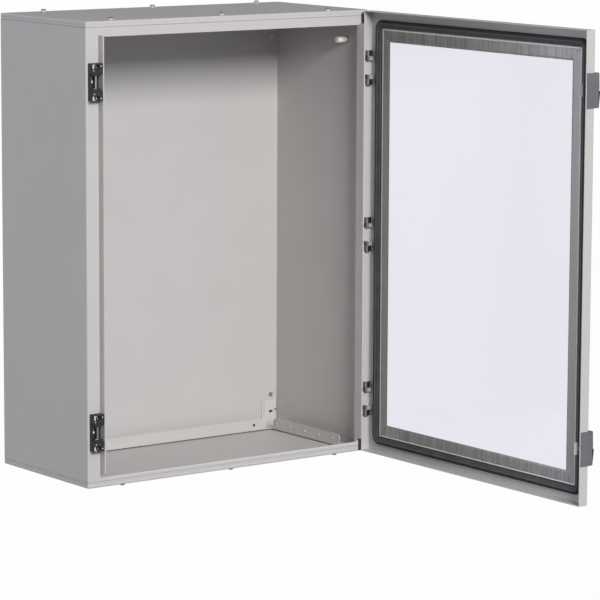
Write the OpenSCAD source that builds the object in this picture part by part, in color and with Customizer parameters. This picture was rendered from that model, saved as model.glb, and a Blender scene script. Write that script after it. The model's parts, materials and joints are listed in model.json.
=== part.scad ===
// Steel wall enclosure with a glazed hinged door, stored with the door open
// square to the front. Millimetres, +Z up, +Y into the wall. The origin is the
// centre of the four wall fixings on the back face.

/* [Body] */
// Overall width
W = 600; // [400:1200]
// Overall height over the two covers
H = 800; // [600:1400]
// Depth of the body from front face to back face
D = 274; // [150:400]
// Sheet thickness
T = 1.5; // [1:0.1:3]
// Outer radius of the vertical folds
fold_r = 2.5; // [1:0.5:6]

/* [Front opening] */
// Inner face of the left lip
open_l = 27; // [20:60]
// Inner face of the right lip
open_r = 579; // [500:1180]
// Lower edge of the opening
open_b = 16.6; // [12:60]
// Upper edge of the opening
open_t = 772.9; // [500:1380]
// Thickness of the hemmed lip
lip_t = 2.5; // [2:0.1:5]
// Reach of the lip in front of the front face
lip_out = 15.5; // [8:25]
// Return of the hem behind the front face
lip_in = 6; // [0:15]
// Size of the slanted cut at the lower end of the side lips, mm
lip_cut = 2.5; // [0.5:0.5:6]
// Height where the side lips start, mm
lip_b = 24.2; // [12:60]
// Height where the side lips end, mm
lip_e = 776; // [500:1380]

/* [Covers] */
// Height of the cover rims
rim_h = 10; // [6:25]
// Thickness of the cover rims
rim_t = 1.2; // [0.8:0.1:2]
// Gap between a cover rim and the body
seam = 0.5; // [0.2:0.1:2]
// Height of the body flange above the cover plate
flange_gap = 2; // [1:0.5:4]
// Width of the inward flanges
flange_w = 28.5; // [20:40]
// Screw distance from the front and back faces
screw_in = 15; // [10:25]
// First screw set, measured from the left
screws_a = [60, 290, 520];
// Second screw set, measured from the left
screws_b = [80, 310, 540];

/* [Wall fixing] */
// Fixing distance from the sides
fix_x = 15; // [10:40]
// Fixing distance from top and bottom
fix_z = 64; // [30:120]
// Radius of the fixing holes
fix_r = 3.5; // [3:0.25:6]

/* [Door] */
// Door width
DW = 597; // [300:1196]
// Door bottom height
door_z0 = 1.5; // [0:5]
// Door top height
door_z1 = 798.5; // [400:1398]
// Depth of the folded edge
door_d = 19.2; // [12:30]
// Gap between the folded edge and the front face with the door shut
door_gap = 4; // [2:8]
// Distance of the hinge edge from the right side
hinge_edge = 1.5; // [0:5]
// Window cut-out: hinge side, lock side, bottom, top
cut = [44, 555.5, 43, 756];
// Height of the gasket
gasket_h = 5.9; // [3:0.1:10]
// Outer edges of the gasket: hinge side, lock side, bottom, top
gasket_o = [16, 583.4, 16, 783.2];
// Gasket width
gasket_w = 14.2; // [8:20]

/* [Hinges] */
// Hinge heights
hinge_z = [97, 397, 697];
// Hinge axis behind the hinge edge and behind the folded edge
axis_s = 5.75; // [4:0.25:10]
axis_t = 6.75; // [4:0.25:12]
// Pin radius
pin_r = 2.5; // [1.5:0.25:4]
// Running clearance of the pin in the body arms
pin_gap = 0.05; // [0.02:0.01:0.1]

/* [Locks] */
// Lock heights
lock_z = [98, 698];
// Insert axis from the hinge edge
lock_s = 588.7; // [400:1190]
// Insert axis below the lock height
lock_drop = 9; // [0:15]
// Insert radius
insert_r = 9; // [8:12]

/* [Hidden] */
$fn = 64;
zc = rim_h + seam;                       // body wall starts here, measured from each end
zf = T + flange_gap;                     // outer face of the inward flange
paint = [0.78, 0.77, 0.76];
ax = W - hinge_edge - axis_s;            // hinge axis, x
ay = -(door_gap + axis_t);               // hinge axis, y
door_x = ax - axis_t;                    // open door: plane of the folded edge
door_y = ay + axis_s;                    // open door: hinge edge
pt = door_d - T;                         // inner plane of the door panel, from the folded edge
keeper_k = [26, -26.5];                  // keeper screws above and below the lock height

module place() { translate([-W/2, -D, -H/2]) children(); }
// s runs from the hinge edge to the lock edge, t from the folded edge to the outer face
module door() { translate([door_x, door_y, 0]) rotate([0, 0, -90]) children(); }
module box(a, b) { translate(a) cube([b[0]-a[0], b[1]-a[1], b[2]-a[2]]); }
module rrect(a, b, r) {
  translate([a[0]+r, a[1]]) square([b[0]-a[0]-2*r, b[1]-a[1]]);
  translate([a[0], a[1]+r]) square([b[0]-a[0], b[1]-a[1]-2*r]);
  for (x = [a[0]+r, b[0]-r], y = [a[1]+r, b[1]-r]) translate([x, y]) circle(r);
}
module upside() { translate([W, 0, H]) rotate([0, 180, 0]) children(); }
module each_screw(front, back) {
  for (x = front) translate([x, screw_in, 0]) children();
  for (x = back) translate([x, D-screw_in, 0]) children();
}

// ---- body ----
module end_flange() {
  difference() {
    union() {
      difference() {
        translate([0, 0, zf]) linear_extrude(zc+2-zf) rrect([T, T], [W-T, D-T], 1);
        translate([0, 0, zf+T]) linear_extrude(zc) rrect([2*T, 2*T], [W-2*T, D-2*T], 0.5);
      }
    }
    translate([0, 0, zf-1]) linear_extrude(T+2) rrect([flange_w, flange_w], [W-flange_w, D-23.5], 4);
    each_screw(screws_b, screws_a) translate([0, 0, zf-1]) cylinder(r=3.5, h=T+2);
  }
}
module body_wrap() color(paint) place() difference() {
  union() {
    difference() {
      translate([0, 0, zc]) linear_extrude(H-2*zc) rrect([0, 0], [W, D], fold_r);
      translate([0, 0, zc-1]) linear_extrude(H-2*zc+2) rrect([T, T], [W-T, D-T], fold_r-T);
      box([open_l-lip_t, -1, zc-1], [open_r+lip_t, T+1, H-zc+1]);
    }
    end_flange();
    upside() end_flange();
  }
  for (x = [fix_x, W-fix_x], z = [fix_z, H-fix_z])
    translate([x, D-T-1, z]) rotate([-90, 0, 0]) cylinder(r=fix_r, h=T+2);
  for (z = hinge_z, k = [-8, 8])
    translate([ax+0.8, -1, z+k]) rotate([-90, 0, 0]) cylinder(r=2.75, h=T+2);
  for (z = lock_z, k = keeper_k)
    translate([14, -1, z+k]) rotate([-90, 0, 0]) cylinder(r=2.25, h=T+2);
}
module lip_side(l) {
  translate([0, -lip_out+lip_t/2, 0]) box([0, 0, 0], [lip_t, lip_out-lip_t/2+lip_in, l]);
  translate([lip_t/2, -lip_out+lip_t/2, 0]) cylinder(r=lip_t/2, h=l);
}
module front_frame() color(paint) place() {
  x0 = open_l-lip_t; x1 = open_r+lip_t;
  // rails, turned inward along the opening
  box([x0, 0, zc], [x1, T, open_b-T]);
  box([x0, 0, open_t+T], [x1, T, H-zc]);
  for (z = [open_b-T, open_t+T]) translate([x0, T, z]) rotate([0, 90, 0]) cylinder(r=T, h=x1-x0);
  box([x0, T, open_b-T], [x1, lip_in, open_b]);
  box([x0, T, open_t], [x1, lip_in, open_t+T]);
  // side returns and the lips standing in front of them
  for (x = [x0, x1-lip_t]) {
    box([x, 0, open_b-T], [x+lip_t, lip_in, lip_b+1]);
    translate([x, 0, lip_b]) difference() {
      lip_side(lip_e-lip_b);
      translate([lip_t/2, -lip_out, 0]) rotate([45, 0, 0]) cube([lip_t+2, lip_cut*1.414, lip_cut*1.414], center=true);
    }
  }
}
module cover() {
  difference() {
    linear_extrude(rim_h) rrect([0, 0], [W, D], fold_r);
    translate([0, 0, T]) linear_extrude(rim_h) rrect([rim_t, rim_t], [W-rim_t, D-rim_t], fold_r-rim_t);
    each_screw(screws_b, screws_a) translate([0, 0, -1]) cylinder(r=3.3, h=T+2);
  }
}
module bottom_cover() color(paint) place() cover();
module top_cover() color(paint) place() upside() cover();
module cover_seal() {
  translate([0, 0, T]) linear_extrude(flange_gap) difference() {
    rrect([3.4, 3.4], [W-3.4, D-3.4], 3);
    rrect([22, 22], [W-22, D-20], 3);
    for (x = screws_b) translate([x, screw_in]) circle(3.6);
    for (x = screws_a) translate([x, D-screw_in]) circle(3.6);
  }
}
module bottom_cover_gasket() color([0.12, 0.12, 0.12]) place() cover_seal();
module top_cover_gasket() color([0.12, 0.12, 0.12]) place() upside() cover_seal();
module strip(l, h) {
  linear_extrude(T) difference() {
    union() { translate([0, 0]) square([l, h-8]); translate([8, 0]) square([l-16, h]);
      translate([8, h-8]) circle(8); translate([l-8, h-8]) circle(8); }
  }
}
module end_strips() {
  h = 25-zf-T;
  for (x = [flange_w-T, W-flange_w]) translate([x, 40, zf+T]) rotate([90, 0, 90]) strip(205, h);
  difference() {
    translate([28+6, D-22, zf+T]) rotate([90, 0, 0]) strip(W-76, h);
    for (x = [69, W-69]) translate([x, D-30, 14]) rotate([-90, 0, 0]) cylinder(r=2, h=12);
  }
}
module bottom_inner_flanges() color(paint) place() end_strips();
module top_inner_flanges() color(paint) place() upside() end_strips();
module cover_screw() {
  difference() {
    union() {
      translate([0, 0, -4.4]) cylinder(r1=3.7, r2=4.5, h=1);
      translate([0, 0, -3.41]) cylinder(r=4.5, h=2.21);
      translate([0, 0, -2]) cylinder(r=3, h=14);
    }
    translate([0, 0, -4.5]) cylinder(r=2.6, h=2.1, $fn=6);
  }
}
module bottom_cover_screws() color([0.16, 0.16, 0.17]) place() each_screw(screws_b, screws_a) cover_screw();
module top_cover_screws() color([0.16, 0.16, 0.17]) place() upside() each_screw(screws_b, screws_a) cover_screw();
module sealing_washer() { translate([0, 0, -1.2]) difference() { cylinder(r=5, h=1.2); translate([0, 0, -1]) cylinder(r=3.1, h=4); } }
module sealing_washers() color([0.1, 0.1, 0.1]) place() {
  each_screw(screws_b, screws_a) sealing_washer();
  upside() each_screw(screws_b, screws_a) sealing_washer();
}
module weld_nut() { translate([0, 0, zf+T]) difference() { cylinder(r=5.8, h=5, $fn=6); translate([0, 0, -1]) cylinder(r=3.05, h=7); } }
module weld_nuts() color([0.6, 0.6, 0.6]) place() {
  each_screw(screws_b, screws_a) weld_nut();
  upside() each_screw(screws_b, screws_a) weld_nut();
}
// folded plate in each rear corner, below the fixing hole
module corner_bracket() {
  difference() {
    box([W-37, D-T-2, 13], [W-3, D-T, 54]);
    box([W-32, D-T-3, 27], [W-31, D-T+1, 52]);
    for (k = [-2.75, 2.75]) translate([W-fix_x+k, D-T-3, 32]) rotate([-90, 0, 0]) cylinder(r=2.25, h=4);
    box([W-fix_x-2.75, D-T-3, 29.75], [W-fix_x+2.75, D-T+1, 34.25]);
    translate([W-4.5, D-T-3, 35]) rotate([-90, 0, 0]) cylinder(r=2.5, h=4);
    translate([W-fix_x-1, D-T-3, 19]) rotate([-90, 0, 0]) cylinder(r=2.05, h=4);
  }
}
module bracket_rivet() {
  translate([W-fix_x-1, D-T, 19]) rotate([90, 0, 0]) { cylinder(r=2, h=2); translate([0, 0, 2]) cylinder(r1=4, r2=2.6, h=1.6); }
}
// rivets in the rear strips
module strip_rivet() translate([W-69, D-22, 14]) rotate([90, 0, 0]) { translate([0, 0, -2.5]) cylinder(r=1.95, h=2.5+T); translate([0, 0, T]) cylinder(r1=2.6, r2=1.8, h=0.9); }
module strip_rivets() color([0.2, 0.2, 0.2]) place() four_corners() strip_rivet();
module four_corners() {
  children();
  translate([W, 0, 0]) mirror([1, 0, 0]) children();
  translate([0, 0, H]) mirror([0, 0, 1]) { children(); translate([W, 0, 0]) mirror([1, 0, 0]) children(); }
}
module corner_brackets() color([0.72, 0.72, 0.72]) place() four_corners() corner_bracket();
module bracket_rivets() color([0.62, 0.62, 0.62]) place() four_corners() bracket_rivet();
// hollow snap caps over the fixing holes, inside
module fixing_hole_caps() color([0.12, 0.12, 0.12]) place() four_corners()
  translate([W-fix_x, D-T, fix_z]) rotate([90, 0, 0]) difference() {
    union() { cylinder(r=4, h=1.6); translate([0, 0, 1.6]) cylinder(r1=4, r2=3.4, h=0.6); }
    translate([0, 0, -1]) cylinder(r=3.5, h=2.4);
  }
// rubber strip on the hinge jamb, between the lip and the hinges
module jamb_seal() color([0.1, 0.1, 0.1]) place() box([open_r+lip_t+1.9, -0.8, 1], [ax-3.8, 0, H-6]);
module stud_at() { translate([W-T, 62, 743]) rotate([0, -90, 0]) children(); }
module earth_stud() color([0.66, 0.6, 0.5]) place() stud_at() { cylinder(r=6.5, h=1.2); cylinder(r=3, h=19); }
module earth_stud_washer() color([0.6, 0.6, 0.6]) place() stud_at() translate([0, 0, 1.2]) difference() { cylinder(r=6.2, h=1.4); translate([0, 0, -1]) cylinder(r=3.2, h=4); }
module earth_stud_sleeve() color([0.86, 0.86, 0.84]) place() stud_at() translate([0, 0, 2.6]) difference() {
  cylinder(r=5.3, h=19.9);
  translate([0, 0, -1]) cylinder(r=3.1, h=18.5);
  translate([0, 0, 15.6]) difference() { cylinder(r=6, h=0.8); translate([0, 0, -1]) cylinder(r=4.8, h=3); }
}

// ---- hinges ----
module hinge_body_plates() color([0.62, 0.62, 0.63]) place() for (z = hinge_z) translate([0, 0, z]) {
  difference() {
    union() {
      box([ax-3.75, -1.3, -25], [ax+4.7, 0, 25]);
      for (k = [-1, 1]) {
        box([ax-3.75, ay, k*16.5-3.4], [ax+3.75, -0.5, k*16.5+3.4]);
        translate([ax, ay, k*16.5-3.4]) cylinder(r=3.75, h=6.8);
        box([ax, ay-3.75, k*16.5-3.4], [ax+8.2, ay+1, k*16.5+3.4]);
      }
    }
    for (k = [-1, 1]) translate([ax, ay, k*16.5-4.5]) cylinder(r=pin_r+pin_gap, h=9);
  }
  for (k = [-8, 8]) translate([ax+0.8, -1, k]) rotate([-90, 0, 0]) cylinder(r=2.5, h=9.5);
}
module hinge_plate_nuts() color([0.6, 0.6, 0.6]) place() for (z = hinge_z, k = [-8, 8])
  translate([ax+0.8, T, z+k]) rotate([-90, 0, 0]) difference() { cylinder(r=4.6, h=4, $fn=6); translate([0, 0, -1]) cylinder(r=2.55, h=6); }
module hinge_blocks() color([0.14, 0.14, 0.15]) place() door() for (z = hinge_z, k = [-1, 1]) translate([0, 0, z+k*25.9]) difference() {
  union() {
    box([T, 2.5, -5.1], [3.5, pt, 5.1]);
    box([T, 2.5, -5.1], [9.5, 12, 5.1]);
  }
  translate([axis_s, axis_t, -6]) cylinder(r=pin_r, h=12);
}
module hinge_pins() color([0.55, 0.55, 0.56]) place() door() for (z = hinge_z, k = [-1, 1])
  translate([axis_s, axis_t, z+k*21.8-9.8]) cylinder(r=pin_r, h=19.6);

// ---- door ----
module door_panel() color(paint) place() door() difference() {
  union() {
    difference() {
      translate([0, 0, door_z0]) linear_extrude(door_z1-door_z0) difference() {
        union() {
          translate([0, 0]) square([DW, door_d-fold_r]);
          translate([fold_r, 0]) square([DW-2*fold_r, door_d]);
          for (s = [fold_r, DW-fold_r]) translate([s, door_d-fold_r]) circle(fold_r);
        }
      }
      box([T, -1, door_z0+T], [DW-T, pt, door_z1-T]);
    }
  }
  box([cut[0], pt-1, cut[2]], [cut[1], door_d+1, cut[3]]);
  for (z = hinge_z, k = [-1, 1]) box([-1, -1, z+k*16.5-4.1], [T+1, 15.6, z+k*16.5+4.1]);
  for (z = lock_z) translate([lock_s, pt-1, z-lock_drop]) rotate([-90, 0, 0]) cylinder(r=6.5, h=T+2);
}
module window_glass() color([0.86, 0.88, 0.9, 0.6]) place() door()
  box([cut[0]+2, pt-1.5, cut[2]+2], [cut[1]-2, door_d-0.2, cut[3]-2]);
module ring_box(a, t0, b, t1, w) {
  difference() { box([a[0], t0, a[1]], [b[0], t1, b[1]]); box([a[0]+w, t0-1, a[1]+w], [b[0]-w, t1+1, b[1]-w]); }
}
module window_seal() color([0.1, 0.1, 0.1]) place() door() {
  difference() {
    box([cut[0], pt-1.5, cut[2]], [cut[1], door_d+0.6, cut[3]]);
    box([cut[0]+2, pt-2, cut[2]+2], [cut[1]-2, door_d-0.2, cut[3]-2]);
    box([cut[0]+7, pt-2, cut[2]+7], [cut[1]-7, door_d+2, cut[3]-7]);
  }
}
fo = [34.5, 568.5, 31, 768];   // glazing frame, outer edges
fi = [55.5, 545, 54, 745];     // glazing frame, inner edges
module frame_band() {
  difference() {
    union() {
      box([fo[0]+1.2, pt-2.8, fo[2]+1.2], [fo[1]-1.2, pt-1.5, fo[3]-1.2]);
      difference() {
        box([fo[0], pt-1.6, fo[2]], [fo[1], pt, fo[3]]);
        box([cut[0]-0.2, pt-2, cut[2]-0.2], [cut[1]+0.2, pt+1, cut[3]+0.2]);
      }
    }
    box([fi[0], pt-5, fi[2]], [fi[1], pt+1, fi[3]]);
  }
}
module mitre(p) { translate([0, pt-4, 0]) rotate([-90, 0, 0]) linear_extrude(6) polygon([for (q = p) [q[0], -q[1]]]); }
e = 0.15;
module glazing_frame_top() color([0.55, 0.55, 0.54]) place() door() intersection() { frame_band();
  mitre([[fo[0]+e, fo[3]+1], [fo[0]+e, fo[3]], [fi[0]+e, fi[3]], [fi[1]-e, fi[3]], [fo[1]-e, fo[3]], [fo[1]-e, fo[3]+1]]); }
module glazing_frame_bottom() color([0.55, 0.55, 0.54]) place() door() intersection() { frame_band();
  mitre([[fo[0]+e, fo[2]-1], [fo[0]+e, fo[2]], [fi[0]+e, fi[2]], [fi[1]-e, fi[2]], [fo[1]-e, fo[2]], [fo[1]-e, fo[2]-1]]); }
module glazing_frame_left() color([0.55, 0.55, 0.54]) place() door() intersection() { frame_band();
  mitre([[fo[0]-1, fo[2]+e], [fo[0], fo[2]+e], [fi[0], fi[2]+e], [fi[0], fi[3]-e], [fo[0], fo[3]-e], [fo[0]-1, fo[3]-e]]); }
module glazing_frame_right() color([0.55, 0.55, 0.54]) place() door() intersection() { frame_band();
  mitre([[fo[1]+1, fo[2]+e], [fo[1], fo[2]+e], [fi[1], fi[2]+e], [fi[1], fi[3]-e], [fo[1], fo[3]-e], [fo[1]+1, fo[3]-e]]); }

module gasket_profile() {
  w = gasket_w/2;
  polygon([[-w, 0], [w, 0], [w, 1.5], [w-2.2, gasket_h-0.9], [w-3.4, gasket_h], [-w+3.4, gasket_h], [-w+2.2, gasket_h-0.9], [-w, 1.5]]);
}
module door_gasket() color([0.1, 0.1, 0.1]) place() door() translate([0, pt, 0]) rotate([90, 0, 0]) {
  r = 15-gasket_w/2+2;
  c = gasket_w/2;
  s0 = gasket_o[0]+c; s1 = gasket_o[1]-c; z0 = gasket_o[2]+c; z1 = gasket_o[3]-c;
  translate([s0, z1-r, 0]) rotate([90, 0, 0]) linear_extrude(z1-z0-2*r) gasket_profile();
  translate([s1, z1-r, 0]) rotate([90, 0, 0]) linear_extrude(z1-z0-2*r) gasket_profile();
  translate([s0+r, z0, 0]) rotate([90, 0, 90]) linear_extrude(s1-s0-2*r) gasket_profile();
  translate([s0+r, z1, 0]) rotate([90, 0, 90]) linear_extrude(s1-s0-2*r) gasket_profile();
  translate([s0+r, z0+r, 0]) rotate([0, 0, 180]) rotate_extrude(angle=90) translate([r, 0]) gasket_profile();
  translate([s1-r, z0+r, 0]) rotate([0, 0, 270]) rotate_extrude(angle=90) translate([r, 0]) gasket_profile();
  translate([s1-r, z1-r, 0]) rotate_extrude(angle=90) translate([r, 0]) gasket_profile();
  translate([s0+r, z1-r, 0]) rotate([0, 0, 90]) rotate_extrude(angle=90) translate([r, 0]) gasket_profile();
}

// ---- locks ----
module lock_housing(z) {
  zi = z-lock_drop;
  difference() {
    union() {
      box([DW, 1.3, z-28.5], [DW+1.4, door_d+7.5, z+30]);
      box([572, door_d, z-28.5], [DW+0.1, door_d+7.5, z+30]);
      translate([lock_s, pt, zi]) rotate([-90, 0, 0]) cylinder(r=6.3, h=T+0.1);
      // sloped nose round the insert
      translate([574, 0, z]) rotate([90, 0, 90]) linear_extrude(24.2) polygon([[door_d+7, -28.5], [door_d+7.6, -28.5], [door_d+10.4, -1.5], [door_d+7.6, 1], [door_d+7, 1]]);
      box([583.7, 12.5, z-24], [DW-T-0.2, pt, z+16]);
    }
    translate([lock_s, 21, zi]) rotate([-90, 0, 0]) cylinder(r=insert_r+0.1, h=12);
    translate([lock_s, 10, zi]) rotate([-90, 0, 0]) cylinder(r=4.3, h=14);
    translate([572, door_d+4.5, z-30]) rotate([0, 0, 45]) translate([-2, 0, 0]) cube([10, 8, 62]);
  }
}
module lock_insert(z) {
  translate([lock_s, 0, z-lock_drop]) difference() {
    union() {
      translate([0, 21, 0]) rotate([-90, 0, 0]) cylinder(r=insert_r, h=7.4);
      translate([0, 28.4, 0]) rotate([-90, 0, 0]) cylinder(r1=insert_r, r2=insert_r-1, h=1);
      translate([0, 12.8, 0]) rotate([-90, 0, 0]) cylinder(r=4.2, h=8.3);
    }
    difference() {
      translate([0, 24, 0]) rotate([-90, 0, 0]) cylinder(r=6.5, h=6);
      translate([0, 23, 0]) rotate([-90, 0, 0]) cylinder(r=2.5, h=5.6);
      box([-4.6, 23, -1.5], [4.6, 28.6, 1.5]);
    }
  }
}
module lock_hook(z) {
  translate([0, 0, z]) {
    box([578.7, 3, -10], [581.2, 11.4, 10]);
    box([581.1, 3, -10], [584.2, 5.5, 10]);
    box([581.1, 9.3, -4], [592, 11.4, 4]);
    box([585, 9.3, -14], [592, 11.4, 4.1]);
  }
}
module lock_housing_upper() color([0.42, 0.42, 0.46]) place() door() lock_housing(lock_z[1]);
module lock_housing_lower() color([0.42, 0.42, 0.46]) place() door() lock_housing(lock_z[0]);
module lock_insert_upper() color([0.3, 0.3, 0.32]) place() door() lock_insert(lock_z[1]);
module lock_insert_lower() color([0.3, 0.3, 0.32]) place() door() lock_insert(lock_z[0]);
module lock_hook_upper() color([0.75, 0.75, 0.76]) place() door() lock_hook(lock_z[1]);
module lock_hook_lower() color([0.75, 0.75, 0.76]) place() door() lock_hook(lock_z[0]);

// ---- keepers on the left jamb ----
module keeper_housings() color([0.13, 0.13, 0.14]) place() for (z = lock_z) translate([0, 0, z]) difference() {
  union() {
    box([3.6, -2, -31.5], [24, 0, 32]);
    box([3.6, -14.6, 15], [24.2, -1, 32]);
    box([3.6, -14.6, -31.5], [24.2, -1, -15]);
    for (k = [-1, 1]) box([5.5, -13, k*12.9-2.1], [22, -1, k*12.9+2.1]);
    box([3.6, -6, -15], [6.5, -1, 15]);
  }
  for (k = keeper_k) translate([14, 1, k]) rotate([90, 0, 0]) { cylinder(r=2.2, h=20); translate([0, 0, 6]) cylinder(r=4.1, h=12); }
  for (k = [-1, 1]) box([11, -12.5, k*12.3-1.8], [13.6, -10, k*12.3+1.8]);
}
module keeper_bars() color([0.8, 0.8, 0.8]) place() for (z = lock_z) box([11, -12.5, z-13.9], [13.6, -10, z+13.9]);
module keeper_screws() color([0.8, 0.8, 0.78]) place() for (z = lock_z, k = keeper_k)
  translate([14, -5, z+k]) rotate([-90, 0, 0]) difference() {
    union() { translate([0, 0, -2.5]) cylinder(r=3.8, h=2.5); cylinder(r=2, h=13); }
    translate([0, 0, -3]) cylinder(r=1.8, h=1.8, $fn=6);
  }

body_wrap();
front_frame();
top_cover();
bottom_cover();
top_cover_gasket();
bottom_cover_gasket();
top_inner_flanges();
bottom_inner_flanges();
top_cover_screws();
bottom_cover_screws();
sealing_washers();
weld_nuts();
corner_brackets();
bracket_rivets();
strip_rivets();
fixing_hole_caps();
jamb_seal();
earth_stud();
earth_stud_washer();
earth_stud_sleeve();
hinge_body_plates();
hinge_plate_nuts();
keeper_housings();
keeper_bars();
keeper_screws();
door_panel();
hinge_blocks();
hinge_pins();
window_glass();
window_seal();
glazing_frame_top();
glazing_frame_bottom();
glazing_frame_left();
glazing_frame_right();
door_gasket();
lock_housing_upper();
lock_housing_lower();
lock_insert_upper();
lock_insert_lower();
lock_hook_upper();
lock_hook_lower();
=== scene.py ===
import bpy, bmesh, json, math
from mathutils import Matrix, Vector


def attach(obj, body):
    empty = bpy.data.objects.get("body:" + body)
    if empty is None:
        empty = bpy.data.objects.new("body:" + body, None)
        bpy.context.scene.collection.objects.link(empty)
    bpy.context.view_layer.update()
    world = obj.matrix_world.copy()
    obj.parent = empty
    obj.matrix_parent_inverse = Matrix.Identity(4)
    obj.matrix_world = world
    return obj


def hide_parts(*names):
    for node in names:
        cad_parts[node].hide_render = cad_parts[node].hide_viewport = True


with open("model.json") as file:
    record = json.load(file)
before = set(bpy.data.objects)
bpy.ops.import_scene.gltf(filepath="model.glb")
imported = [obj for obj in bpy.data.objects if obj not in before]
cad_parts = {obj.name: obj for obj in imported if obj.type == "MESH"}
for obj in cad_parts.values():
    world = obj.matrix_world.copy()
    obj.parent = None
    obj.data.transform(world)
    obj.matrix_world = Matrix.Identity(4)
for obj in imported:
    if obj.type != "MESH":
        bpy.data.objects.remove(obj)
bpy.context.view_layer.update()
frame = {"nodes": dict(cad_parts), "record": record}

# Body coordinates: millimetres from the front lower left corner of the body, x right, y back, z up.
# Door coordinates: s from the hinge edge, t from the folded edge to the outer face, z up, as the door stands at rest.
OX, OY, OZ = 300.0, 274.0, 400.0


def P(x, y, z):
    return Vector(((x - OX) / 1000, (y - OY) / 1000, (z - OZ) / 1000))


def Dr(s, t, z):
    return P(586.0 + t, -5.0 - s, z)


# ------------------------------------------------------------------ materials
def new_mat(name):
    m = bpy.data.materials.new(name)
    m.use_nodes = True
    nt = m.node_tree
    nt.nodes.clear()
    out = nt.nodes.new("ShaderNodeOutputMaterial")
    b = nt.nodes.new("ShaderNodeBsdfPrincipled")
    nt.links.new(b.outputs["BSDF"], out.inputs["Surface"])
    return m, nt, b


def coords(nt, scale=(1, 1, 1)):
    tc = nt.nodes.new("ShaderNodeTexCoord")
    mp = nt.nodes.new("ShaderNodeMapping")
    mp.inputs["Scale"].default_value = scale
    nt.links.new(tc.outputs["Object"], mp.inputs["Vector"])
    return mp.outputs["Vector"]


def noise(nt, vec, scale, detail=3.0, rough=0.55):
    n = nt.nodes.new("ShaderNodeTexNoise")
    n.inputs["Scale"].default_value = scale
    n.inputs["Detail"].default_value = detail
    n.inputs["Roughness"].default_value = rough
    nt.links.new(vec, n.inputs["Vector"])
    return n.outputs["Fac"]


def ramp(nt, fac, stops):
    r = nt.nodes.new("ShaderNodeValToRGB")
    e = r.color_ramp.elements
    e[0].position, e[0].color = stops[0][0], (*stops[0][1], 1)
    e[1].position, e[1].color = stops[-1][0], (*stops[-1][1], 1)
    for p, c in stops[1:-1]:
        k = e.new(p)
        k.color = (*c, 1)
    nt.links.new(fac, r.inputs["Fac"])
    return r.outputs["Color"]


def vary(nt, fac, a, b):
    m = nt.nodes.new("ShaderNodeMapRange")
    m.inputs["To Min"].default_value = a
    m.inputs["To Max"].default_value = b
    nt.links.new(fac, m.inputs["Value"])
    return m.outputs["Result"]


def bump(nt, fac, strength, dist, bsdf, normal=None):
    k = nt.nodes.new("ShaderNodeBump")
    k.inputs["Strength"].default_value = strength
    k.inputs["Distance"].default_value = dist
    nt.links.new(fac, k.inputs["Height"])
    if normal is not None:
        nt.links.new(normal, k.inputs["Normal"])
    if bsdf is not None:
        nt.links.new(k.outputs["Normal"], bsdf.inputs["Normal"])
    return k.outputs["Normal"]


def shade(c, k):
    return tuple(min(1, max(0, v * k)) for v in c)


def powder(name, col, rough=0.42, peel=0.12):
    """Powder coat: orange peel at two scales, faint mottling of colour and gloss."""
    m, nt, b = new_mat(name)
    v = coords(nt)
    fine = noise(nt, v, 1500, 2.0)
    peel_n = noise(nt, v, 420, 2.0)
    big = noise(nt, v, 9, 3.0)
    nt.links.new(ramp(nt, big, [(0.3, shade(col, 0.982)), (0.7, shade(col, 1.015))]), b.inputs["Base Color"])
    nt.links.new(vary(nt, peel_n, rough - 0.05, rough + 0.07), b.inputs["Roughness"])
    n1 = bump(nt, peel_n, peel, 0.0004, None)
    bump(nt, fine, peel * 0.8, 0.0002, b, n1)
    b.inputs["Specular IOR Level"].default_value = 0.4
    return m


def rubber(name, col, rough=0.6, grain=900, depth=0.3):
    m, nt, b = new_mat(name)
    v = coords(nt)
    g = noise(nt, v, grain, 4.0, 0.65)
    big = noise(nt, v, 30, 2.0)
    nt.links.new(ramp(nt, big, [(0.3, shade(col, 0.8)), (0.72, shade(col, 1.35))]), b.inputs["Base Color"])
    nt.links.new(vary(nt, g, rough - 0.1, rough + 0.15), b.inputs["Roughness"])
    bump(nt, g, depth, 0.0004, b)
    b.inputs["Specular IOR Level"].default_value = 0.5
    return m


def plastic(name, col, rough=0.45, grain=1400, depth=0.18):
    m, nt, b = new_mat(name)
    v = coords(nt)
    g = noise(nt, v, grain, 3.0, 0.6)
    big = noise(nt, v, 40, 2.0)
    nt.links.new(ramp(nt, big, [(0.3, shade(col, 0.9)), (0.7, shade(col, 1.12))]), b.inputs["Base Color"])
    nt.links.new(vary(nt, g, rough - 0.06, rough + 0.08), b.inputs["Roughness"])
    bump(nt, g, depth, 0.0003, b)
    return m


def metal(name, col, rough=0.3, stretch=(1, 1, 1), grain=900, depth=0.12, metallic=1.0):
    """Plated or brushed metal: streaks along one axis, faint patches."""
    m, nt, b = new_mat(name)
    v = coords(nt, stretch)
    g = noise(nt, v, grain, 4.0, 0.6)
    v2 = coords(nt)
    big = noise(nt, v2, 60, 3.0)
    nt.links.new(ramp(nt, big, [(0.3, shade(col, 0.88)), (0.7, shade(col, 1.08))]), b.inputs["Base Color"])
    nt.links.new(vary(nt, g, rough - 0.07, rough + 0.1), b.inputs["Roughness"])
    bump(nt, g, depth, 0.0002, b)
    b.inputs["Metallic"].default_value = metallic
    return m


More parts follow.
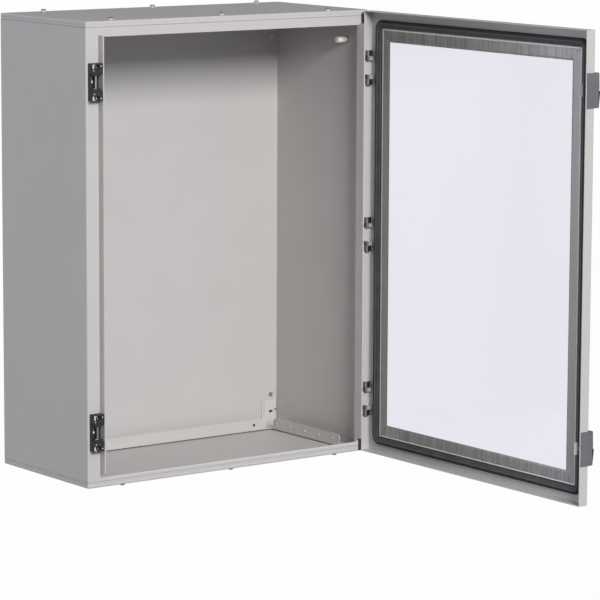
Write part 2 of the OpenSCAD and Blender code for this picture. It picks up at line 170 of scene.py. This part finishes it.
PAINT = (0.53, 0.518, 0.508)
M = {
    "powder_coat": powder("powder_coat", PAINT),
    "bracket_steel": powder("bracket_steel", (0.575, 0.572, 0.565), 0.4, 0.08),
    "gasket_foam": rubber("gasket_foam", (0.05, 0.051, 0.053), 0.5, 700, 0.35),
    "seal_rubber": rubber("seal_rubber", (0.015, 0.015, 0.016), 0.55, 1200, 0.2),
    "black_plastic": plastic("black_plastic", (0.016, 0.016, 0.018), 0.28),
    "lock_plastic": plastic("lock_plastic", (0.135, 0.137, 0.155), 0.5),
    "white_plastic": plastic("white_plastic", (0.8, 0.8, 0.78), 0.4),
    "black_steel": metal("black_steel", (0.05, 0.05, 0.055), 0.35, metallic=0.6),
    "zinc_steel": metal("zinc_steel", (0.62, 0.62, 0.63), 0.3),
    "stud_steel": metal("stud_steel", (0.62, 0.58, 0.52), 0.3),
    "insert_metal": metal("insert_metal", (0.24, 0.24, 0.26), 0.35),
    "frame_aluminium": metal("frame_aluminium", (0.5, 0.5, 0.49), 0.42, stretch=(1, 1, 0.04), grain=1600, depth=0.1, metallic=0.75),
}


def glass(name):
    m, nt, b = new_mat(name)
    v = coords(nt)
    n = noise(nt, v, 3, 1.0)
    nt.links.new(ramp(nt, n, [(0.2, (0.83, 0.825, 0.9)), (0.8, (0.85, 0.845, 0.915))]), b.inputs["Base Color"])
    b.inputs["Roughness"].default_value = 0.0
    b.inputs["Transmission Weight"].default_value = 1.0
    b.inputs["IOR"].default_value = 1.3
    return m


M["window_glass"] = glass("window_glass")


def brushed(name, col, stretch, rough=0.42, contrast=0.18):
    """Satin profile: fine streaks and broader bands across the member."""
    m, nt, b = new_mat(name)
    v = coords(nt, stretch)
    fine = noise(nt, v, 1500, 4.0, 0.6)
    band = noise(nt, v, 190, 3.0, 0.7)
    nt.links.new(ramp(nt, band, [(0.32, shade(col, 1 - contrast)), (0.5, col), (0.68, shade(col, 1 + contrast))]), b.inputs["Base Color"])
    nt.links.new(vary(nt, fine, rough - 0.08, rough + 0.1), b.inputs["Roughness"])
    bump(nt, fine, 0.1, 0.0002, b)
    b.inputs["Metallic"].default_value = 0.7
    return m


M["frame_h"] = brushed("frame_h", (0.355, 0.35, 0.338), (1, 1, 0.05), contrast=0.27)
M["frame_v"] = brushed("frame_v", (0.37, 0.365, 0.345), (1, 1, 0.02), contrast=0.07)
# pale copy of the frame metal for the outer bead: painted highlight
M["frame_bead_painted_highlight"] = metal("frame_bead_painted_highlight", (0.8, 0.8, 0.8), 0.4, stretch=(1, 1, 0.2), grain=1200, depth=0.05, metallic=0.35)
# near-black for the gasket's outer side: painted shade
M["gasket_painted_shade"] = rubber("gasket_painted_shade", (0.011, 0.011, 0.012), 0.55, 700, 0.3)
# lighter rubber for the gasket's ridge top: painted highlight
M["gasket_ridge_painted_highlight"] = rubber("gasket_ridge_painted_highlight", (0.08, 0.081, 0.083), 0.4, 700, 0.2)
M["glazing_lip"] = rubber("glazing_lip", (0.1, 0.1, 0.103), 0.5, 900, 0.15)
M["hinge_casting"] = metal("hinge_casting", (0.17, 0.17, 0.18), 0.4, metallic=0.2, depth=0.2)
M["hinge_arm"] = metal("hinge_arm", (0.4, 0.4, 0.41), 0.4, metallic=0.15, depth=0.15)
M["cap_grey"] = plastic("cap_grey", (0.17, 0.17, 0.17), 0.35)
# white for the keeper clips and rivets: painted highlight
M["keeper_painted_highlight"] = plastic("keeper_painted_highlight", (0.62, 0.62, 0.62), 0.4)
M["hook_zinc"] = metal("hook_zinc", (0.72, 0.72, 0.73), 0.35, metallic=0.2)
# darker grey for the upper hook, the same part as the lower one: painted shade
M["hook_painted_shade"] = metal("hook_painted_shade", (0.36, 0.36, 0.36), 0.4, metallic=0.3)
M["keeper_black"] = plastic("keeper_black", (0.017, 0.017, 0.019), 0.6, grain=500, depth=0.5)
# light grey for the upper fixing caps: painted highlight
M["cap_painted_highlight"] = plastic("cap_painted_highlight", (0.66, 0.66, 0.65), 0.35)
# light grey metal for the washers and head bases: painted highlight standing in for the glint on the screw heads
M["screw_painted_highlight"] = metal("screw_painted_highlight", (0.55, 0.55, 0.57), 0.32, metallic=0.3)
M["lock_nose"] = plastic("lock_nose", (0.012, 0.012, 0.013), 0.75)
# near-black for the jamb strip by the hinges: painted shade in the gap
M["jamb_painted_shade"] = rubber("jamb_painted_shade", (0.038, 0.038, 0.04), 0.6, 900, 0.2)
# lighter copy of the paint: painted highlight on the opening bends and the weld domes
M["powder_painted_highlight"] = powder("powder_painted_highlight", shade(PAINT, 1.16), 0.38, 0.06)

SLOTS = {s["node"]: s["material_slot"] for s in frame["record"]["subparts"]}
# the jamb strip takes the near-black, painted shade in the gap by the hinges; the washers take the light grey, painted
# highlight
for n, o in frame["nodes"].items():
    s = SLOTS.get(n, n)
    for k in range(len(o.material_slots)):
        o.material_slots[k].material = M[{"fixing_hole_caps": "cap_grey", "sealing_washers": "screw_painted_highlight", "jamb_seal": "jamb_painted_shade"}.get(n, s)]

# ------------------------------------------------------------------ meshes
CONST = {"W": 600.0, "D": 274.0, "H": 800.0, "pt": 17.7}
LOCK_Z = (98.0, 698.0)
HINGE_Z = (97.0, 397.0, 697.0)


def finish_mesh(name, bm, mats, body, nodes, bevel=None, angle=32, segs=3, smooth=True, place=None):
    """Turn a bmesh into a piece of the object."""
    bmesh.ops.recalc_face_normals(bm, faces=bm.faces)
    me = bpy.data.meshes.new(name)
    bm.to_mesh(me)
    bm.free()
    o = bpy.data.objects.new(name, me)
    for m in mats:
        me.materials.append(m)
    bpy.context.scene.collection.objects.link(o)
    for f in me.polygons:
        f.use_smooth = smooth
    if bevel:
        b = o.modifiers.new("bevel", "BEVEL")
        b.width = bevel / 1000
        b.segments = segs
        b.limit_method = "ANGLE"
        b.angle_limit = math.radians(angle)
        b.harden_normals = True
        b.use_clamp_overlap = True
    wn = o.modifiers.new("normals", "WEIGHTED_NORMAL")
    wn.weight = 70
    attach(o, body)
    if nodes:
        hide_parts(*nodes)
    return o


def body_of(node):
    for b, ns in frame["record"]["behaviour"]["bodies"].items():
        if node in ns:
            return b


def refine(node, width, angle=32, segs=3, mats=None, pick=None, dissolve=1.0):
    """The node's own shape with its sharp edges rounded."""
    src = frame["nodes"][node]
    bm = bmesh.new()
    bm.from_mesh(src.data)
    bmesh.ops.remove_doubles(bm, verts=bm.verts, dist=1e-6)
    if dissolve:
        bmesh.ops.dissolve_limit(bm, angle_limit=math.radians(dissolve), verts=bm.verts, edges=bm.edges)
    slot = SLOTS[node]
    mats = mats or [M[slot]]
    for f in bm.faces:
        f.material_index = pick(f.calc_center_median()) if pick else 0
    return finish_mesh(node + "_finished", bm, mats, body_of(node), [node], width, angle, segs)


def rr(x0, y0, x1, y1, r, n=6):
    """Rounded rectangle as a list of points."""
    pts = []
    r = max(r, 0.01)
    for cx, cy, a0 in ((x1 - r, y0 + r, -90), (x1 - r, y1 - r, 0), (x0 + r, y1 - r, 90), (x0 + r, y0 + r, 180)):
        for k in range(n + 1):
            a = math.radians(a0 + 90 * k / n)
            pts.append((cx + r * math.cos(a), cy + r * math.sin(a)))
    return pts


def loops(bm, rings, close=False, cap_first=False, cap_last=False):
    vs = [[bm.verts.new(p) for p in ring] for ring in rings]
    pairs = list(zip(vs, vs[1:])) + ([(vs[-1], vs[0])] if close else [])
    for a, b in pairs:
        for k in range(len(a)):
            j = (k + 1) % len(a)
            bm.faces.new((a[k], a[j], b[j], b[k]))
    if cap_first:
        bm.faces.new(vs[0])
    if cap_last:
        bm.faces.new(vs[-1])
    return vs


def box_into(bm, a, b, at=P, mat=0):
    vs = [bm.verts.new(at(x, y, z)) for x in (a[0], b[0]) for y in (a[1], b[1]) for z in (a[2], b[2])]
    for q in ((0, 1, 3, 2), (4, 6, 7, 5), (0, 4, 5, 1), (2, 3, 7, 6), (0, 2, 6, 4), (1, 5, 7, 3)):
        f = bm.faces.new([vs[k] for k in q])
        f.material_index = mat


def lathe_into(bm, centre, axis, prof, n=28, mat=0):
    """Turned shape: prof lists (radius, distance along the axis)."""
    ax = Vector(axis).normalized()
    u = ax.orthogonal().normalized()
    v = ax.cross(u)
    rings = []
    for r, h in prof:
        rings.append([bm.verts.new(centre + (ax * h + (u * math.cos(2 * math.pi * k / n) + v * math.sin(2 * math.pi * k / n)) * r) / 1000) for k in range(n)])
    for a, b in zip(rings, rings[1:]):
        for k in range(n):
            j = (k + 1) % n
            f = bm.faces.new((a[k], a[j], b[j], b[k]))
            f.material_index = mat
    for ring in (rings[0], rings[-1]):
        f = bm.faces.new(ring)
        f.material_index = mat


# covers: folded pans with a real fold radius along every edge
def cover(name, node, flip):
    T, rt, rh, R = 1.5, 1.2, 10.0, 2.4
    rings = []

    def ring(i, z, r):
        zz = CONST["H"] - z if flip else z
        rings.append([P(x, y, zz) for x, y in rr(i, i, CONST["W"] - i, CONST["D"] - i, r, 8)])

    fr = 2.9
    for k in range(9):
        a = math.radians(90 * k / 8)
        ring(R * (1 - math.sin(a)), R * (1 - math.cos(a)), fr - R * (1 - math.sin(a)) + 0.01)
    ring(0, rh - 4.2, fr)
    ring(0.45, rh - 3.9, fr - 0.45)
    ring(0.45, rh - 3.3, fr - 0.45)
    ring(0, rh - 3.0, fr)
    ring(0, rh - 0.35, fr)
    ring(0.1, rh - 0.1, fr - 0.1)
    ring(0.35, rh, fr - 0.35)
    ring(rt - 0.25, rh, fr - rt + 0.25)
    ring(rt, rh - 0.25, fr - rt)
    ri = R - rt
    for k in range(5):
        a = math.radians(90 * (1 - k / 4))
        ring(rt + ri * (1 - math.sin(a)), T + ri * (1 - math.cos(a)), fr - rt - ri * (1 - math.sin(a)) + 0.01)
    bm = bmesh.new()
    loops(bm, rings, cap_first=True, cap_last=True)
    return finish_mesh(name, bm, [M["powder_coat"]], "enclosure", [node])


cover("bottom_cover_finished", "bottom_cover", False)
cover("top_cover_finished", "top_cover", True)

# foam gasket: steep outer side, rounded ridge, long inner slope
GO = (16.0, 583.4, 16.0, 783.2)
prof = [(0.0, 0.0), (0.0, 3.0), (0.5, 4.3), (1.5, 5.0), (3.6, 5.2), (4.6, 5.35), (5.1, 5.85), (5.6, 5.95), (6.9, 5.95), (7.4, 5.7), (7.8, 4.9),
        (8.6, 4.3), (10.4, 4.0), (12.2, 3.4), (13.4, 2.4), (14.0, 1.2), (14.2, 0.0)]
rings = []
for o, h in prof:
    rings.append([Dr(a, CONST["pt"] - h, b) for a, b in rr(GO[0] + o, GO[2] + o, GO[1] - o, GO[3] - o, max(17 - o, 2.8), 10)])
bm = bmesh.new()
loops(bm, rings, close=True)
n = len(rings[0])
bm.faces.ensure_lookup_table()
# the outer side bands take the near-black, painted shade; the ridge top takes the lighter rubber, painted highlight
for k, f in enumerate(bm.faces):
    f.material_index = {0: 1, 1: 1, 2: 1, 3: 1, 4: 1, 5: 1, 7: 2, 8: 2}.get(k // n, 0)
finish_mesh("door_gasket_finished", bm, [M["gasket_foam"], M["gasket_painted_shade"], M["gasket_ridge_painted_highlight"]], "door", ["door_gasket"], smooth=False)

# glazing members: outer bead, groove, brushed face, step down to the glass, mitred ends
FO = (34.5, 568.5, 31.0, 768.0)
FI = (55.5, 545.0, 54.0, 745.0)


def member(side, horizontal):
    wl, wr, wb, wt = FI[0] - FO[0], FO[1] - FI[1], FI[2] - FO[2], FO[3] - FI[3]
    w = {"left": wl, "right": wr, "bottom": wb, "top": wt}[side]
    pr = [(0.0, 17.7), (0.0, 16.3), (0.25, 15.5), (0.85, 14.98), (1.6, 14.85), (2.3, 14.98), (2.75, 15.3), (3.1, 15.42), (3.5, 15.3), (3.9, 15.1),
          (4.6, 15.05), (w - 3.4, 15.05), (w - 3.0, 15.2), (w - 2.7, 15.5), (w - 0.6, 15.6), (w - 0.1, 15.8), (w, 16.15), (9.7, 16.15), (9.6, 17.7)]
    e = 0.12
    bm = bmesh.new()
    ends = [[], []]
    for o, t in pr:
        u = o / w
        sl, sr, zb, zt = FO[0] + wl * u, FO[1] - wr * u, FO[2] + wb * u, FO[3] - wt * u
        if side == "top":
            q = ((sl + e, zt), (sr - e, zt))
        elif side == "bottom":
            q = ((sl + e, zb), (sr - e, zb))
        elif side == "left":
            q = ((sl, zb + e), (sl, zt - e))
        else:
            q = ((sr, zb + e), (sr, zt - e))
        for k in (0, 1):
            ends[k].append(bm.verts.new(Dr(q[k][0], t, q[k][1])))
    n = len(pr)
    for k in range(n):
        j = (k + 1) % n
        f = bm.faces.new((ends[0][k], ends[0][j], ends[1][j], ends[1][k]))
        # the outer bead faces take the pale metal: painted highlight
        f.material_index = 1 if k in (1, 2, 3, 4, 5) else 2 if k in (14, 15, 16) else 0
    bm.faces.new(ends[0])
    bm.faces.new(ends[1])
    return finish_mesh("glazing_frame_%s_finished" % side, bm, [M["frame_h" if horizontal else "frame_v"], M["frame_bead_painted_highlight"], M["glazing_lip"]], "door", ["glazing_frame_" + side])


for side in ("top", "bottom"):
    member(side, True)
for side in ("left", "right"):
    member(side, False)

# keepers, hinges, locks and fasteners: the real shapes with rounded edges
refine("keeper_housings", 0.55, segs=2, mats=[M["keeper_black"]])
refine("keeper_bars", 0.5)
refine("keeper_screws", 0.4)
refine("hinge_body_plates", 0.5, mats=[M["zinc_steel"], M["hinge_casting"], M["hinge_arm"]],
       pick=lambda c: 0 if c.y * 1000 + OY > -4 else 1 if c.x * 1000 + OX < 592.7 else 2)
bm = bmesh.new()
for z in HINGE_Z:
    for k in (-1, 1):
        zc = z + k * 25.9
        pf = [(1.5, 2.5), (1.5, 17.7), (3.5, 17.7), (3.5, 12.0), (9.5, 12.0), (9.5, 5.4), (8.6, 4.6), (7.7, 2.5)]
        ends = [[bm.verts.new(Dr(a, b, zc + h)) for a, b in pf] for h in (-5.1, 5.1)]
        for q in range(len(pf)):
            j = (q + 1) % len(pf)
            bm.faces.new((ends[0][q], ends[0][j], ends[1][j], ends[1][q])).material_index = 1 if q == 4 else 0
        for e in ends:
            bm.faces.new(e)
        # raised boss on the inner side, in line with the pin
        box_into(bm, (2.6, 2.1, zc - 3.4), (6.2, 2.6, zc + 3.4), Dr)
finish_mesh("hinge_blocks_finished", bm, [M["hinge_casting"], M["black_plastic"]], "door", ["hinge_blocks"], 0.35)
# the upper hook is painted darker than the lower one: painted shade
refine("lock_hook_upper", 0.35, mats=[M["hook_painted_shade"]])
refine("lock_hook_lower", 0.35, mats=[M["hook_zinc"]])
def cut(bm, cutters):
    """Subtract each cutter mesh from bm."""
    objs = []
    for k, q in enumerate([bm] + cutters):
        me = bpy.data.meshes.new("cut%d" % k)
        bmesh.ops.recalc_face_normals(q, faces=q.faces)
        q.to_mesh(me)
        q.free()
        o = bpy.data.objects.new("cut%d" % k, me)
        bpy.context.scene.collection.objects.link(o)
        objs.append(o)
    for o in objs[1:]:
        m = objs[0].modifiers.new("b", "BOOLEAN")
        m.operation = "DIFFERENCE"
        m.solver = "EXACT"
        m.object = o
    dg = bpy.context.evaluated_depsgraph_get()
    me = bpy.data.meshes.new_from_object(objs[0].evaluated_get(dg))
    out = bmesh.new()
    out.from_mesh(me)
    bpy.data.meshes.remove(me)
    for o in objs:
        d = o.data
        bpy.data.objects.remove(o)
        bpy.data.meshes.remove(d)
    return out


refine("lock_housing_upper", 1.1)
refine("lock_housing_lower", 1.1)
bm = bmesh.new()
holes = []
for z in LOCK_Z:
    pf = [(26.4, -28.2), (26.95, -28.2), (29.85, -2.0), (29.6, -1.1), (27.0, 1.35), (26.4, 1.35)]
    ends = [[bm.verts.new(Dr(sv, t, z + h)) for t, h in pf] for sv in (573.6, 598.75)]
    for q in range(len(pf)):
        j = (q + 1) % len(pf)
        bm.faces.new((ends[0][q], ends[0][j], ends[1][j], ends[1][q]))
    for e in ends:
        bm.faces.new(e)
    h = bmesh.new()
    lathe_into(h, Dr(588.7, 20, z - 9), (1, 0, 0), [(9.15, 0), (9.15, 15)], 48)
    holes.append(h)
bw = bmesh.new()
for z in LOCK_Z:
    pf = [(26.2, 29.3), (26.75, 29.3), (27.15, 27.9), (28.0, 3.4), (27.8, 1.9), (26.3, 1.9)]
    ends = [[bw.verts.new(Dr(sv, t, z + h)) for t, h in pf] for sv in (573.5, 598.85)]
    for q in range(len(pf)):
        j = (q + 1) % len(pf)
        bw.faces.new((ends[0][q], ends[0][j], ends[1][j], ends[1][q]))
    for e in ends:
        bw.faces.new(e)
finish_mesh("lock_crowns", bw, [M["lock_plastic"]], "door", None, 0.35)
finish_mesh("lock_noses", cut(bm, holes), [M["lock_nose"]], "door", None, 0.3)
refine("lock_insert_upper", 0.4)
refine("lock_insert_lower", 0.4)
# the band at the base of each head, and the washers, take the light grey: painted highlight for the glint
refine("top_cover_screws", 0.45, mats=[M["black_plastic"], M["screw_painted_highlight"]], pick=lambda c: 1 if 801.25 < c.z * 1000 + OZ < 803.3 else 0)
refine("bottom_cover_screws", 0.45, mats=[M["black_plastic"], M["screw_painted_highlight"]], pick=lambda c: 1 if -3.3 < c.z * 1000 + OZ < -1.25 else 0)
refine("corner_brackets", 0.5)
# the upper fixing caps are painted light grey as painted highlight, the lower ones stay dark grey
refine("fixing_hole_caps", 0.3, mats=[M["cap_grey"], M["cap_painted_highlight"]], pick=lambda c: 1 if c.z > 0 else 0)
refine("top_inner_flanges", 0.4)
refine("bottom_inner_flanges", 0.4)
refine("earth_stud_sleeve", 0.5)
refine("door_panel", 0.5)
# bend faces along the top and bottom of the opening take the lighter paint: painted highlight
refine("front_frame", 0.5, mats=[M["powder_coat"], M["powder_painted_highlight"]],
       pick=lambda c: 1 if 0.03 < c.y * 1000 + OY < 2.2 and min(abs(c.z * 1000 + OZ - 16.0), abs(c.z * 1000 + OZ - 773.5)) < 1.6 else 0)
refine("body_wrap", 0.6, angle=50)


# keepers: clips at the outer edge, centre rivet and small fixings, in white that is painted highlight on the black
# keepers
bm = bmesh.new()
for z in LOCK_Z:
    for a, b in ((23.2, 30.6), (-30.2, -23.2)):
        box_into(bm, (3.75, -14.9, z + a), (6.4, -12.0, z + b))
        box_into(bm, (5.8, -14.9, z + (b - 1.6 if a > 0 else a)), (8.4, -14.5, z + (b if a > 0 else a + 1.6)))
    box_into(bm, (8.0, -12.2, z - 12.6), (11.2, -10.4, z - 10.2))
finish_mesh("keeper_clips", bm, [M["keeper_painted_highlight"]], "enclosure", None, 0.3)
bm = bmesh.new()
for z in LOCK_Z:
    for x, y, dz, r, h in ((9.3, -2.0, 0.4, 2.5, 1.6), (9.0, -2.0, 6.5, 1.2, 1.0), (7.5, -14.6, -19.5, 1.1, 0.35), (6.0, -14.6, 20.0, 1.0, 0.35), (20.5, -14.6, 27.5, 1.1, 0.35), (20.5, -14.6, -27.0, 1.1, 0.35)):
        lathe_into(bm, P(x, y, z + dz), (0, -1, 0), [(r, -0.3), (r, h * 0.55), (r * 0.72, h * 0.9), (r * 0.35, h)], 20)
finish_mesh("keeper_rivets", bm, [M["keeper_painted_highlight"]], "enclosure", None, 0.1)

# spot welds along the end strips, in the lighter paint that is painted highlight
bm = bmesh.new()
for zz, sg in ((0.0, 1), (800.0, -1)):
    for y in (61, 102, 146, 190, 234):
        for x, d in ((571.5, -1), (28.5, 1)):
            lathe_into(bm, P(x, y, zz + sg * 15.0), (d, 0, 0), [(2.6, -0.2), (2.5, 0.35), (1.9, 0.75), (1.0, 0.95), (0.3, 1.0)], 20)
finish_mesh("strip_welds", bm, [M["powder_painted_highlight"]], "enclosure", None)

# dark plates behind the bracket openings: painted shade in the openings
bm = bmesh.new()
for mx in (0, 1):
    for mz in (0, 1):
        for cx, cz, hw, hh in ((584.2, 32.0, 4.2, 2.0), (595.2, 34.8, 2.0, 2.0)):
            ring = [(x, z) for x, z in rr(cx - hw, cz - hh, cx + hw, cz + hh, 1.95, 6)]
            lv = []
            for y, k in ((272.45, 1.0), (271.9, 1.0), (271.6, 0.86)):
                lv.append([P(abs(600 * mx - (cx + (x - cx) * k)), y, abs(800 * mz - (cz + (z - cz) * k))) for x, z in ring])
            loops(bm, lv, cap_first=True, cap_last=True)
finish_mesh("bracket_painted_shade_plates", bm, [M["seal_rubber"]], "enclosure", None)

# ------------------------------------------------------------------ stage, lights, camera
def emission(name, col, strength):
    m = bpy.data.materials.new(name)
    m.use_nodes = True
    nt = m.node_tree
    nt.nodes.clear()
    out = nt.nodes.new("ShaderNodeOutputMaterial")
    e = nt.nodes.new("ShaderNodeEmission")
    e.inputs["Color"].default_value = (*col, 1)
    e.inputs["Strength"].default_value = strength
    nt.links.new(e.outputs[0], out.inputs["Surface"])
    return m


def staged(name, bm, mat):
    me = bpy.data.meshes.new(name)
    bm.to_mesh(me)
    bm.free()
    o = bpy.data.objects.new(name, me)
    me.materials.append(mat)
    bpy.context.scene.collection.objects.link(o)
    o.visible_diffuse = False
    o.visible_glossy = False
    o.visible_shadow = False
    return o


bm = bmesh.new()
bmesh.ops.create_icosphere(bm, subdivisions=4, radius=30)
backdrop = staged("backdrop", bm, emission("backdrop_white", (1, 1, 1), 0.99))
bm = bmesh.new()
bmesh.ops.create_circle(bm, cap_ends=True, segments=96, radius=24)
floor = staged("floor", bm, emission("floor_white", (1, 1, 1), 0.985))
floor.location = (0, 0, -3.3)

w = bpy.data.worlds.new("studio")
bpy.context.scene.world = w
w.use_nodes = True
w.node_tree.nodes["Background"].inputs["Color"].default_value = (1.0, 0.98, 0.995, 1)
w.node_tree.nodes["Background"].inputs["Strength"].default_value = 0.275


def area(name, direction, dist, size, energy, aim=(0.0, -0.3, 0.0), col=(1, 1, 1), size_y=None):
    l = bpy.data.lights.new(name, "AREA")
    l.energy = energy
    l.size = size
    if size_y:
        l.shape = "RECTANGLE"
        l.size_y = size_y
    l.color = col
    o = bpy.data.objects.new(name, l)
    bpy.context.scene.collection.objects.link(o)
    d = Vector(direction).normalized()
    o.location = Vector(aim) + d * dist
    o.rotation_mode = "QUATERNION"
    o.rotation_quaternion = d.to_track_quat("Z", "Y")
    return o


area("key", (-0.215, -1.0, 0.45), 8.0, 2.9, 583, size_y=2.1)
area("left_fill", (-1.0, 0.5, 0.05), 4.0, 1.5, 37, col=(0.8, 0.86, 1.0))

# Camera, from the fit of the object's straight edges
f, yaw, pitch, roll = 3308.263, 0.6397, 0.1507, 0.0045
C = P(-3025.609, -4671.605, 1172.974)
fw = Vector((math.sin(yaw) * math.cos(pitch), math.cos(yaw) * math.cos(pitch), -math.sin(pitch)))
right = Vector((math.cos(yaw), -math.sin(yaw), 0))
up = right.cross(fw)
r2 = right * math.cos(roll) + up * math.sin(roll)
u2 = -right * math.sin(roll) + up * math.cos(roll)
cam_data = bpy.data.cameras.new("camera")
cam = bpy.data.objects.new("camera", cam_data)
bpy.context.scene.collection.objects.link(cam)
cam.matrix_world = Matrix(((r2.x, u2.x, -fw.x, C.x), (r2.y, u2.y, -fw.y, C.y), (r2.z, u2.z, -fw.z, C.z), (0, 0, 0, 1)))
cam_data.sensor_width = 36
cam_data.lens = f / 600 * 36
cam_data.clip_start, cam_data.clip_end = 0.1, 100
bpy.context.scene.camera = cam
vs = bpy.context.scene.view_settings
vs.view_transform = "Standard"
vs.look = "None"
vs.exposure = 0.0
vs.gamma = 1.0
